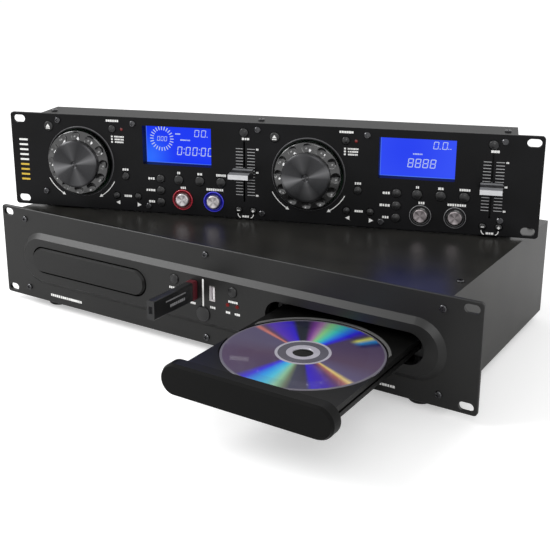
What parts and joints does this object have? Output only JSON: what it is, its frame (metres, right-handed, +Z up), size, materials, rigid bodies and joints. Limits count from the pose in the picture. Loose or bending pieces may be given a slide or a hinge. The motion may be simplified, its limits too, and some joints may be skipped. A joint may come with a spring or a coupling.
{
  "type": "dual disc player",
  "caption": "Rack-width disc player with sliding trays, and its controller with jog wheels, buttons, displays and pitch faders standing on it.",
  "frame": {"origin": "on the floor, under the middle of the whole object", "axes": "+X to the right along the player's front, +Y to its back, +Z up"},
  "size_m": [0.4826, 0.3774, 0.1847],
  "materials": {
    "black_painted_aluminium": "satin black paint",
    "black_painted_steel": "fine textured black paint",
    "black_rubber": "matt",
    "black_screws": "black oxide",
    "black_moulded_abs": "satin",
    "circuit_board": "solder resist",
    "plated_steel": "nickel plate",
    "socket_parts": "moulded with plated contacts",
    "disc_polycarbonate": "clear plastic over a mirror layer",
    "stick_plastic": "gloss black",
    "clear_lenses": "clear and tinted",
    "grey_keys": "satin dark grey",
    "spun_buttons": "silver with spun face",
    "turntable_plastic": "satin",
    "pickup_metal": "cast",
    "jog_plastic": "gloss black with a spun metal cap",
    "fader_plastic": "silver face on black"
  },
  "bodies": {
    "player": {"player_front_panel": "black_painted_aluminium", "player_chassis": "black_painted_steel", "player_top_cover": "black_painted_steel", "player_feet": "black_rubber", "player_screws": "black_screws", "loader_frames": "black_moulded_abs", "player_boards": "circuit_board", "usb_sockets": "plated_steel", "rear_sockets": "socket_parts"},
    "controller": {"controller_front_panel": "black_painted_aluminium", "controller_base": "black_painted_steel", "controller_cover": "black_painted_steel", "controller_screws": "black_screws", "controller_lenses": "clear_lenses", "controller_board": "circuit_board"},
    "tray_1": {"tray_1": "black_moulded_abs", "tray_front_1": "black_moulded_abs"},
    "tray_2": {"tray_2": "black_moulded_abs", "tray_front_2": "black_moulded_abs"},
    "disc": {"disc": "disc_polycarbonate"},
    "usb_stick": {"usb_stick": "stick_plastic"},
    "power_button": {"power_button": "grey_keys"},
    "spindle_1": {"spindle_1": "turntable_plastic"},
    "pickup_1": {"pickup_1": "pickup_metal"},
    "source_key_1": {"source_key_1": "grey_keys"},
    "eject_key_1": {"eject_key_1": "grey_keys"},
    "jog_mode_key_1": {"jog_mode_key_1": "grey_keys"},
    "plus_ten_key_1": {"plus_ten_key_1": "grey_keys"},
    "time_key_1": {"time_key_1": "grey_keys"},
    "single_key_1": {"single_key_1": "grey_keys"},
    "program_key_1": {"program_key_1": "grey_keys"},
    "loop_in_key_1": {"loop_in_key_1": "grey_keys"},
    "loop_out_key_1": {"loop_out_key_1": "grey_keys"},
    "reloop_key_1": {"reloop_key_1": "grey_keys"},
    "pitch_key_1": {"pitch_key_1": "grey_keys"},
    "cue_button_1": {"cue_button_1": "spun_buttons"},
    "play_button_1": {"play_button_1": "spun_buttons"},
    "track_keys_1": {"track_keys_1": "grey_keys"},
    "bend_keys_1": {"bend_keys_1": "grey_keys"},
    "jog_wheel_1": {"jog_wheel_1": "jog_plastic"},
    "pitch_fader_1": {"pitch_fader_1": "fader_plastic"},
    "spindle_2": {"spindle_2": "turntable_plastic"},
    "pickup_2": {"pickup_2": "pickup_metal"},
    "source_key_2": {"source_key_2": "grey_keys"},
    "eject_key_2": {"eject_key_2": "grey_keys"},
    "jog_mode_key_2": {"jog_mode_key_2": "grey_keys"},
    "plus_ten_key_2": {"plus_ten_key_2": "grey_keys"},
    "time_key_2": {"time_key_2": "grey_keys"},
    "single_key_2": {"single_key_2": "grey_keys"},
    "program_key_2": {"program_key_2": "grey_keys"},
    "loop_in_key_2": {"loop_in_key_2": "grey_keys"},
    "loop_out_key_2": {"loop_out_key_2": "grey_keys"},
    "reloop_key_2": {"reloop_key_2": "grey_keys"},
    "pitch_key_2": {"pitch_key_2": "grey_keys"},
    "cue_button_2": {"cue_button_2": "spun_buttons"},
    "play_button_2": {"play_button_2": "spun_buttons"},
    "track_keys_2": {"track_keys_2": "grey_keys"},
    "bend_keys_2": {"bend_keys_2": "grey_keys"},
    "jog_wheel_2": {"jog_wheel_2": "jog_plastic"},
    "pitch_fader_2": {"pitch_fader_2": "fader_plastic"}
  },
  "joints": [
    {"name": "controller_lift", "type": "slide", "parent": "player", "child": "controller", "axis": [0, 0, 1], "range_m": [0, 0.15]},
    {"name": "tray_1_slide", "type": "slide", "parent": "player", "child": "tray_1", "axis": [0, -1, 0], "range_m": [0, 0.133]},
    {"name": "tray_2_slide", "type": "slide", "parent": "player", "child": "tray_2", "axis": [0, 1, 0], "range_m": [0, 0.133]},
    {"name": "disc_spin", "type": "hinge", "parent": "tray_2", "child": "disc", "pos_m": [0.1305, -0.10975, 0.05375], "axis": [0, 0, 1], "continuous": true},
    {"name": "usb_stick_pull", "type": "slide", "parent": "player", "child": "usb_stick", "axis": [0, -1, 0], "range_m": [0, 0.015]},
    {"name": "power_button_press", "type": "slide", "parent": "player", "child": "power_button", "axis": [0, 1, 0], "range_m": [0, 0.001], "stiffness_N_per_m": 800},
    {"name": "spindle_1_spin", "type": "hinge", "parent": "player", "child": "spindle_1", "pos_m": [-0.1305, 0.02325, 0.047], "axis": [0, 0, 1], "continuous": true},
    {"name": "pickup_1_travel", "type": "slide", "parent": "player", "child": "pickup_1", "axis": [0, 1, 0], "range_m": [0, 0.033]},
    {"name": "source_key_1_press", "type": "slide", "parent": "player", "child": "source_key_1", "axis": [0, 1, 0], "range_m": [0, 0.001], "stiffness_N_per_m": 800},
    {"name": "eject_key_1_press", "type": "slide", "parent": "controller", "child": "eject_key_1", "axis": [-0.3231, 0.9464, 0], "range_m": [0, 0.001], "stiffness_N_per_m": 800},
    {"name": "jog_mode_key_1_press", "type": "slide", "parent": "controller", "child": "jog_mode_key_1", "axis": [-0.3231, 0.9464, 0], "range_m": [0, 0.001], "stiffness_N_per_m": 800},
    {"name": "plus_ten_key_1_press", "type": "slide", "parent": "controller", "child": "plus_ten_key_1", "axis": [-0.3231, 0.9464, 0], "range_m": [0, 0.001], "stiffness_N_per_m": 800},
    {"name": "time_key_1_press", "type": "slide", "parent": "controller", "child": "time_key_1", "axis": [-0.3231, 0.9464, 0], "range_m": [0, 0.001], "stiffness_N_per_m": 800},
    {"name": "single_key_1_press", "type": "slide", "parent": "controller", "child": "single_key_1", "axis": [-0.3231, 0.9464, 0], "range_m": [0, 0.001], "stiffness_N_per_m": 800},
    {"name": "program_key_1_press", "type": "slide", "parent": "controller", "child": "program_key_1", "axis": [-0.3231, 0.9464, 0], "range_m": [0, 0.001], "stiffness_N_per_m": 800},
    {"name": "loop_in_key_1_press", "type": "slide", "parent": "controller", "child": "loop_in_key_1", "axis": [-0.3231, 0.9464, 0], "range_m": [0, 0.001], "stiffness_N_per_m": 800},
    {"name": "loop_out_key_1_press", "type": "slide", "parent": "controller", "child": "loop_out_key_1", "axis": [-0.3231, 0.9464, 0], "range_m": [0, 0.001], "stiffness_N_per_m": 800},
    {"name": "reloop_key_1_press", "type": "slide", "parent": "controller", "child": "reloop_key_1", "axis": [-0.3231, 0.9464, 0], "range_m": [0, 0.001], "stiffness_N_per_m": 800},
    {"name": "pitch_key_1_press", "type": "slide", "parent": "controller", "child": "pitch_key_1", "axis": [-0.3231, 0.9464, 0], "range_m": [0, 0.001], "stiffness_N_per_m": 800},
    {"name": "cue_button_1_press", "type": "slide", "parent": "controller", "child": "cue_button_1", "axis": [-0.3231, 0.9464, 0], "range_m": [0, 0.001], "stiffness_N_per_m": 800},
    {"name": "play_button_1_press", "type": "slide", "parent": "controller", "child": "play_button_1", "axis": [-0.3231, 0.9464, 0], "range_m": [0, 0.001], "stiffness_N_per_m": 800},
    {"name": "track_keys_1_rock", "type": "hinge", "parent": "controller", "child": "track_keys_1", "pos_m": [-0.12271, 0.00015, 0.1108], "axis": [0, 0, 1], "range_deg": [-2.5, 2.5], "stiffness_Nm_per_rad": 0.3},
    {"name": "bend_keys_1_rock", "type": "hinge", "parent": "controller", "child": "bend_keys_1", "pos_m": [-0.01506, 0.03691, 0.1046], "axis": [0, 0, 1], "range_deg": [-3.5, 3.5], "stiffness_Nm_per_rad": 0.3},
    {"name": "jog_wheel_1_spin", "type": "hinge", "parent": "controller", "child": "jog_wheel_1", "pos_m": [-0.16349, -0.01968, 0.1411], "axis": [0.3231, -0.9464, 0], "continuous": true},
    {"name": "pitch_fader_1_slide", "type": "slide", "parent": "controller", "child": "pitch_fader_1", "axis": [0, 0, 1], "range_m": [-0.024, 0.024]},
    {"name": "spindle_2_spin", "type": "hinge", "parent": "player", "child": "spindle_2", "pos_m": [0.1305, 0.02325, 0.047], "axis": [0, 0, 1], "continuous": true},
    {"name": "pickup_2_travel", "type": "slide", "parent": "player", "child": "pickup_2", "axis": [0, 1, 0], "range_m": [0, 0.033]},
    {"name": "source_key_2_press", "type": "slide", "parent": "player", "child": "source_key_2", "axis": [0, 1, 0], "range_m": [0, 0.001], "stiffness_N_per_m": 800},
    {"name": "eject_key_2_press", "type": "slide", "parent": "controller", "child": "eject_key_2", "axis": [-0.3231, 0.9464, 0], "range_m": [0, 0.001], "stiffness_N_per_m": 800},
    {"name": "jog_mode_key_2_press", "type": "slide", "parent": "controller", "child": "jog_mode_key_2", "axis": [-0.3231, 0.9464, 0], "range_m": [0, 0.001], "stiffness_N_per_m": 800},
    {"name": "plus_ten_key_2_press", "type": "slide", "parent": "controller", "child": "plus_ten_key_2", "axis": [-0.3231, 0.9464, 0], "range_m": [0, 0.001], "stiffness_N_per_m": 800},
    {"name": "time_key_2_press", "type": "slide", "parent": "controller", "child": "time_key_2", "axis": [-0.3231, 0.9464, 0], "range_m": [0, 0.001], "stiffness_N_per_m": 800},
    {"name": "single_key_2_press", "type": "slide", "parent": "controller", "child": "single_key_2", "axis": [-0.3231, 0.9464, 0], "range_m": [0, 0.001], "stiffness_N_per_m": 800},
    {"name": "program_key_2_press", "type": "slide", "parent": "controller", "child": "program_key_2", "axis": [-0.3231, 0.9464, 0], "range_m": [0, 0.001], "stiffness_N_per_m": 800},
    {"name": "loop_in_key_2_press", "type": "slide", "parent": "controller", "child": "loop_in_key_2", "axis": [-0.3231, 0.9464, 0], "range_m": [0, 0.001], "stiffness_N_per_m": 800},
    {"name": "loop_out_key_2_press", "type": "slide", "parent": "controller", "child": "loop_out_key_2", "axis": [-0.3231, 0.9464, 0], "range_m": [0, 0.001], "stiffness_N_per_m": 800},
    {"name": "reloop_key_2_press", "type": "slide", "parent": "controller", "child": "reloop_key_2", "axis": [-0.3231, 0.9464, 0], "range_m": [0, 0.001], "stiffness_N_per_m": 800},
    {"name": "pitch_key_2_press", "type": "slide", "parent": "controller", "child": "pitch_key_2", "axis": [-0.3231, 0.9464, 0], "range_m": [0, 0.001], "stiffness_N_per_m": 800},
    {"name": "cue_button_2_press", "type": "slide", "parent": "controller", "child": "cue_button_2", "axis": [-0.3231, 0.9464, 0], "range_m": [0, 0.001], "stiffness_N_per_m": 800},
    {"name": "play_button_2_press", "type": "slide", "parent": "controller", "child": "play_button_2", "axis": [-0.3231, 0.9464, 0], "range_m": [0, 0.001], "stiffness_N_per_m": 800},
    {"name": "track_keys_2_rock", "type": "hinge", "parent": "controller", "child": "track_keys_2", "pos_m": [0.08123, 0.06978, 0.1108], "axis": [0, 0, 1], "range_deg": [-2.5, 2.5], "stiffness_Nm_per_rad": 0.3},
    {"name": "bend_keys_2_rock", "type": "hinge", "parent": "controller", "child": "bend_keys_2", "pos_m": [0.18888, 0.10653, 0.1046], "axis": [0, 0, 1], "range_deg": [-3.5, 3.5], "stiffness_Nm_per_rad": 0.3},
    {"name": "jog_wheel_2_spin", "type": "hinge", "parent": "controller", "child": "jog_wheel_2", "pos_m": [0.04045, 0.04994, 0.1411], "axis": [0.3231, -0.9464, 0], "continuous": true},
    {"name": "pitch_fader_2_slide", "type": "slide", "parent": "controller", "child": "pitch_fader_2", "axis": [0, 0, 1], "range_m": [-0.024, 0.024]}
  ]
}
